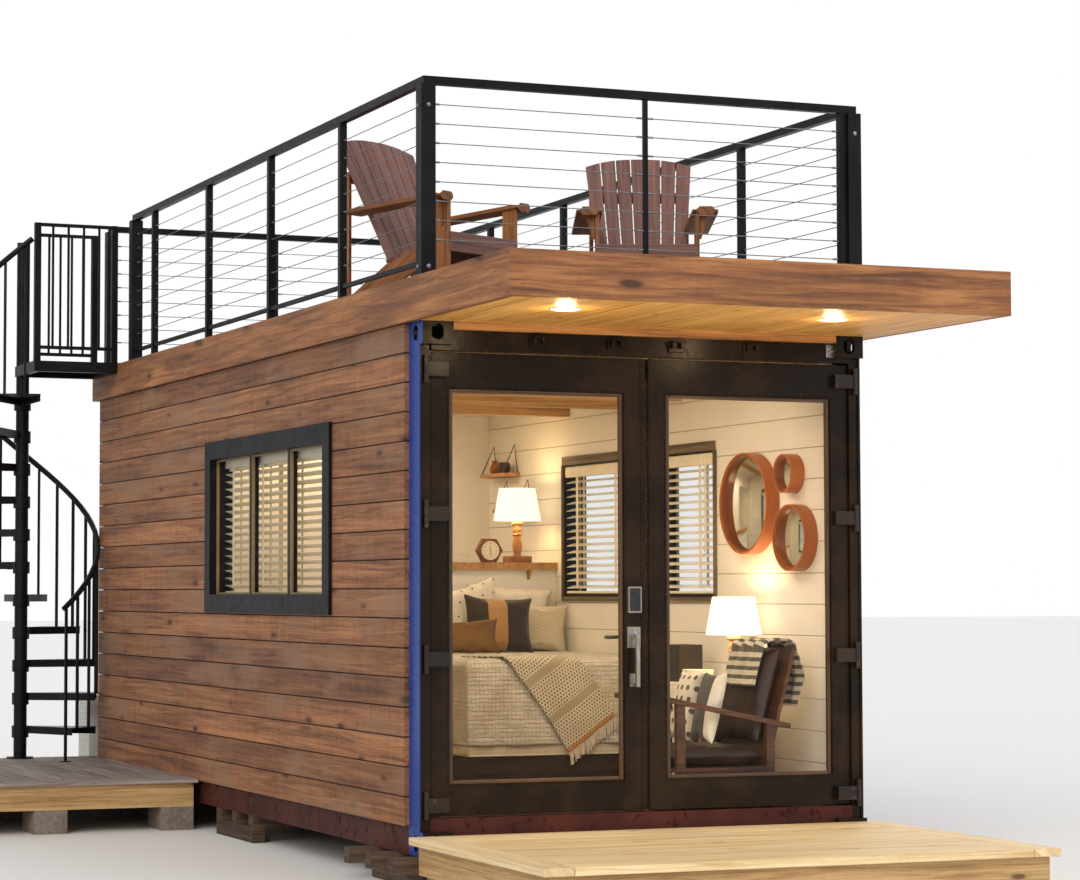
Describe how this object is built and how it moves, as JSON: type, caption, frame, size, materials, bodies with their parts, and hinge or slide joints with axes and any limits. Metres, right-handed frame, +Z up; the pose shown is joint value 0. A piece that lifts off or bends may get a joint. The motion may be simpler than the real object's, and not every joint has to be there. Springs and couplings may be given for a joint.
{
  "type": "shipping container cabin",
  "caption": "Container cabin with board cladding, glazed swing doors, side windows, canopy, railed roof deck, spiral stair and low decks.",
  "frame": {"origin": "middle of the plan's bounding box, on the ground", "axes": "+Z up, -Y out of the glazed doors, +X to the right as seen from in front of the doors"},
  "size_m": [4.418, 8.211, 3.94],
  "materials": {
    "cedar": "oiled, knotty and weathered",
    "fascia_timber": "rough sawn",
    "soffit_timber": "clear satin",
    "light_timber": "satin",
    "deck_boards": "weathered",
    "grey_pine": "weathered, rough",
    "pale_pine": "raw, matte",
    "old_timber": "rough, weathered",
    "floor_wood": "satin",
    "white_boards": "satin",
    "black_steel": "gloss",
    "black_tube": "satin",
    "dark_red_steel": "matte, worn",
    "black_paint": "satin",
    "cream_slats": "matte",
    "clear_glass": "clear",
    "stainless_cable": "bright",
    "satin_metal": "satin",
    "concrete": "rough",
    "unit_white": "satin",
    "lamp_glow": "frosted, lit",
    "dark_timber": "rough",
    "white_quilt": "quilted cotton",
    "pillow_cloth": "woven cotton",
    "woven_wool": "woven, fringed",
    "turned_wood": "satin",
    "lamp_shade": "linen",
    "hoop_wood": "satin",
    "chair_wood": "satin",
    "dark_leather": "worn",
    "plum_boards": "weathered",
    "mirror_glass": "silvered"
  },
  "bodies": {
    "root": {"cribbing": "old_timber", "base_frame": "dark_red_steel", "corner_castings": "black_steel", "corner_posts": "black_steel", "top_rails": "black_steel", "door_header": "black_steel", "container_walls": "dark_red_steel", "container_roof": "dark_red_steel", "room_floor": "floor_wood", "wall_linings": "white_boards", "ceiling": "white_boards", "ceiling_beams": "light_timber", "side_siding": "cedar", "rear_siding": "cedar", "window_frames": "black_paint", "window_glass": "clear_glass", "window_blinds": "cream_slats", "fascia": "fascia_timber", "roof_joists": "light_timber", "roof_deck": "deck_boards", "canopy_soffit": "soffit_timber", "ledger": "soffit_timber", "downlights": "lamp_glow", "railing_posts": "black_tube", "railing_rails": "black_tube", "railing_cables": "stainless_cable", "stair_pole": "black_tube", "stair_treads": "black_tube", "stair_balusters": "black_tube", "stair_handrail": "black_tube", "landing": "black_tube", "landing_guard": "black_tube", "side_deck_boards": "grey_pine", "front_deck_boards": "pale_pine", "low_deck_frames": "pale_pine", "deck_blocks": "concrete", "hinge_lugs": "black_steel", "outdoor_unit": "unit_white", "room_partition": "white_boards", "headboard_wall": "white_boards", "shelves": "light_timber", "bed_base": "dark_timber", "mattress": "white_quilt", "pillows": "pillow_cloth", "throws": "woven_wool", "ornaments": "turned_wood", "table_lamps": "lamp_shade", "wall_mirrors": "hoop_wood", "dresser": "white_boards", "lounge_chair": "chair_wood", "lounge_cushions": "dark_leather", "roof_chairs": "plum_boards"},
    "left_leaf": {"left_door": "black_steel", "left_door_glass": "clear_glass", "left_door_hinges": "black_steel", "left_door_lockset": "satin_metal"},
    "right_leaf": {"right_door": "black_steel", "right_door_glass": "clear_glass", "right_door_hinges": "black_steel"}
  },
  "joints": [
    {"name": "left_door_swing", "type": "hinge", "parent": "root", "child": "left_leaf", "pos_m": [-0.328, -2.4585, 1.455], "axis": [0, 0, -1], "range_deg": [0, 180]},
    {"name": "right_door_swing", "type": "hinge", "parent": "root", "child": "right_leaf", "pos_m": [2.046, -2.4585, 1.455], "axis": [0, 0, 1], "range_deg": [0, 180]}
  ]
}
